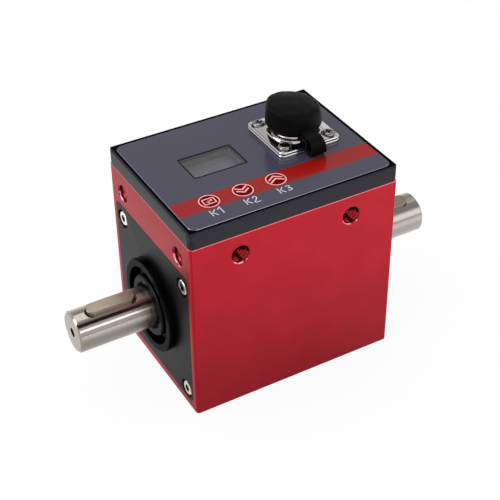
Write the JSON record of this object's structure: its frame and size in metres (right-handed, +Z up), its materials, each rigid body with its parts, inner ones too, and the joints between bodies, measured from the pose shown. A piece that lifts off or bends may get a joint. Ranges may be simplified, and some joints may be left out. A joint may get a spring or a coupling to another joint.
{
  "type": "rotary torque sensor",
  "caption": "Block-shaped rotary torque sensor with keyed shaft ends, inset bearing plates, a lid with display window and membrane keys, and a capped round connector.",
  "frame": {"origin": "middle of the base face, which the sensor stands on", "axes": "+X along the shaft towards the end below the connector, -Y the front face, +Z up out of the lid"},
  "size_m": [0.141, 0.06, 0.0907],
  "materials": {
    "red_anodised": "satin red anodised aluminium",
    "black_anodised": "satin black anodised aluminium",
    "stainless": "bright stainless steel",
    "bearing_steel": "ground bearing steel",
    "ground_steel": "ground and polished steel",
    "key_steel": "drawn key steel with a warm tint",
    "dark_steel": "blackened steel",
    "copper": "enamelled copper",
    "brass": "plain brass",
    "ferrite": "dull dark grey ferrite",
    "circuit_board": "green solder mask",
    "wire_sleeve": "pale wire sleeve",
    "black_plastic": "moulded black plastic",
    "white_plastic": "moulded white plastic",
    "display_glass": "grey display glass on a board",
    "clear_lens": "clear lens",
    "label_film": "fine textured film with printed keys",
    "nickel_plate": "bright nickel plate",
    "black_rubber": "moulded black rubber",
    "cap_rubber": "soft matt black rubber"
  },
  "bodies": {
    "sensor_body": {"housing": "red_anodised", "left_end_plate": "black_anodised", "right_end_plate": "black_anodised", "left_plate_screws": "stainless", "right_plate_screws": "stainless", "left_bearing_outer_ring": "bearing_steel", "right_bearing_outer_ring": "bearing_steel", "left_bearing_seals": "black_rubber", "right_bearing_seals": "black_rubber", "power_stator_ring": "ferrite", "power_stator_winding": "copper", "signal_stator_ring": "ferrite", "signal_stator_winding": "copper", "power_lead": "wire_sleeve", "signal_lead": "wire_sleeve", "circuit_board": "circuit_board", "board_standoffs": "brass", "board_screws": "stainless", "key_switches": "black_plastic", "display_module": "display_glass", "display_header": "black_plastic", "lens": "clear_lens", "lid": "black_anodised", "lid_seal": "black_rubber", "lid_screws": "stainless", "label": "label_film", "connector_shell": "nickel_plate", "connector_carrier": "black_plastic", "connector_contacts": "brass", "connector_leads": "wire_sleeve", "connector_gasket": "black_rubber", "connector_base_plate": "nickel_plate", "connector_screws": "nickel_plate"},
    "rotor": {"shaft": "ground_steel", "left_shaft_key": "key_steel", "right_shaft_key": "key_steel", "left_collar": "dark_steel", "right_collar": "dark_steel", "left_bearing_inner_ring": "bearing_steel", "right_bearing_inner_ring": "bearing_steel", "strain_gauges": "copper", "rotor_board": "circuit_board", "power_rotor_ring": "ferrite", "power_rotor_winding": "copper", "signal_rotor_ring": "ferrite", "signal_rotor_winding": "copper"},
    "left_ball_set": {"left_bearing_cage": "brass", "left_bearing_balls": "bearing_steel"},
    "right_ball_set": {"right_bearing_cage": "brass", "right_bearing_balls": "bearing_steel"},
    "key_1": {"key_plunger_1": "white_plastic"},
    "key_2": {"key_plunger_2": "white_plastic"},
    "key_3": {"key_plunger_3": "white_plastic"},
    "cap": {"dust_cap": "cap_rubber"}
  },
  "joints": [
    {"name": "shaft_spin", "type": "hinge", "parent": "sensor_body", "child": "rotor", "pos_m": [0, 0, 0.0285], "axis": [1, 0, 0], "continuous": true},
    {"name": "left_balls_spin", "type": "hinge", "parent": "sensor_body", "child": "left_ball_set", "pos_m": [-0.03325, 0, 0.0285], "axis": [1, 0, 0], "continuous": true},
    {"name": "right_balls_spin", "type": "hinge", "parent": "sensor_body", "child": "right_ball_set", "pos_m": [0.03325, 0, 0.0285], "axis": [1, 0, 0], "continuous": true},
    {"name": "key_1_press", "type": "slide", "parent": "sensor_body", "child": "key_1", "axis": [0, 0, -1], "range_m": [0, 0.0003], "stiffness_N_per_m": 500},
    {"name": "key_2_press", "type": "slide", "parent": "sensor_body", "child": "key_2", "axis": [0, 0, -1], "range_m": [0, 0.0003], "stiffness_N_per_m": 500},
    {"name": "key_3_press", "type": "slide", "parent": "sensor_body", "child": "key_3", "axis": [0, 0, -1], "range_m": [0, 0.0003], "stiffness_N_per_m": 500},
    {"name": "dust_cap_pull", "type": "slide", "parent": "sensor_body", "child": "cap", "axis": [0, 0, 1], "range_m": [0, 0.025]}
  ],
  "couplings": [
    {"joint": "left_balls_spin", "follows": "shaft_spin", "ratio": 0.409},
    {"joint": "right_balls_spin", "follows": "shaft_spin", "ratio": 0.409}
  ]
}
